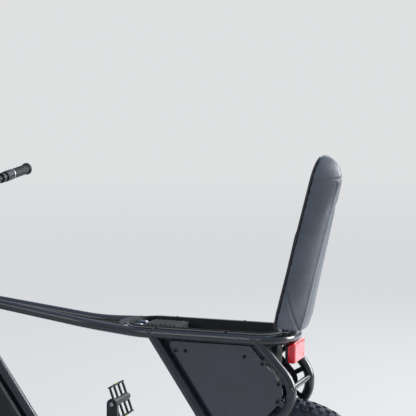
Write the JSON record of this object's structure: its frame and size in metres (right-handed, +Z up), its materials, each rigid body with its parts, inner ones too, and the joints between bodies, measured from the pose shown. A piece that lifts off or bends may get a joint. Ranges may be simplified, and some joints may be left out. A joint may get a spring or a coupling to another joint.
{
  "type": "electric bicycle",
  "caption": "Fat-tyred electric bicycle with twin top tubes, hinged bench seat over a battery box, rear hub motor and centre stand.",
  "frame": {"origin": "on the floor, midway between the two wheel axles, in the bike's middle plane", "axes": "+X forward, +Y to the rider's left, +Z up"},
  "size_m": [1.8224, 0.6868, 1.2879],
  "materials": {
    "frame_paint": "satin black powder coat",
    "black_alloy": "matt black",
    "stanchion_steel": "dark polished",
    "bright_steel": "brushed",
    "spoke_steel": "black coated",
    "chain_steel": "oiled",
    "motor_case": "satin black",
    "tyre_rubber": "matt",
    "grip_rubber": "matt",
    "seat_vinyl": "grained vinyl",
    "tray_plastic": "matt",
    "grained_plastic": "coarse grain",
    "plug_plastic": "gloss",
    "panel_paint": "satin",
    "battery_case": "matt",
    "red_lens": "gloss",
    "lamp_case": "gloss",
    "display_case": "gloss"
  },
  "bodies": {
    "frame": {"main_tubes": "frame_paint", "head_tube": "frame_paint", "down_tube": "frame_paint", "bottom_bracket": "frame_paint", "seat_stays": "frame_paint", "rear_hoop": "frame_paint", "chainstays": "frame_paint", "stand_bracket": "frame_paint", "battery_tray": "tray_plastic", "gusset_plate": "grained_plastic", "battery": "battery_case", "battery_plugs": "plug_plastic", "side_panels": "panel_paint", "tail_light": "red_lens", "tail_light_case": "tray_plastic", "seat_hinge": "bright_steel", "chain": "chain_steel", "controller_case": "tray_plastic", "rear_caliper": "black_alloy"},
    "seat": {"seat_cushion": "seat_vinyl", "seat_pan": "tray_plastic"},
    "steering": {"fork_upper": "stanchion_steel", "fork_lowers": "black_alloy", "front_caliper": "black_alloy", "stem": "black_alloy", "handlebar": "black_alloy", "grips": "grip_rubber", "brake_levers": "black_alloy", "headlight": "lamp_case", "display": "display_case"},
    "front_wheel": {"front_tyre": "tyre_rubber", "front_rim": "black_alloy", "front_spokes": "spoke_steel", "front_hub": "black_alloy", "front_disc": "bright_steel"},
    "rear_wheel": {"rear_tyre": "tyre_rubber", "rear_rim": "black_alloy", "rear_spokes": "spoke_steel", "hub_motor": "motor_case", "rear_disc": "bright_steel", "freewheel": "chain_steel"},
    "crank": {"crank_arms": "black_alloy", "chainring": "black_alloy", "pedal_spindles": "bright_steel"},
    "pedal_left": {"pedal_left": "black_alloy"},
    "pedal_right": {"pedal_right": "black_alloy"},
    "stand": {"centre_stand": "black_alloy"}
  },
  "joints": [
    {"name": "steering", "type": "hinge", "parent": "frame", "child": "steering", "pos_m": [0.39, 0, 0.79], "axis": [-0.342, 0, 0.9397], "range_deg": [-60, 60]},
    {"name": "front_wheel_spin", "type": "hinge", "parent": "steering", "child": "front_wheel", "pos_m": [0.615, 0, 0.297], "axis": [0, 1, 0], "continuous": true},
    {"name": "rear_wheel_spin", "type": "hinge", "parent": "frame", "child": "rear_wheel", "pos_m": [-0.615, 0, 0.297], "axis": [0, 1, 0], "continuous": true},
    {"name": "crank_spin", "type": "hinge", "parent": "frame", "child": "crank", "pos_m": [-0.037, 0, 0.338], "axis": [0, 1, 0], "continuous": true},
    {"name": "pedal_left_spin", "type": "hinge", "parent": "crank", "child": "pedal_left", "pos_m": [-0.037, 0.156, 0.168], "axis": [0, 1, 0], "continuous": true},
    {"name": "pedal_right_spin", "type": "hinge", "parent": "crank", "child": "pedal_right", "pos_m": [-0.037, -0.156, 0.508], "axis": [0, 1, 0], "continuous": true},
    {"name": "seat_close", "type": "hinge", "parent": "frame", "child": "seat", "pos_m": [-0.6005, 0, 0.799], "axis": [0, 1, 0], "range_deg": [0, 103]},
    {"name": "stand_fold", "type": "hinge", "parent": "frame", "child": "stand", "pos_m": [-0.185, 0, 0.215], "axis": [0, 1, 0], "range_deg": [0, 80]}
  ]
}
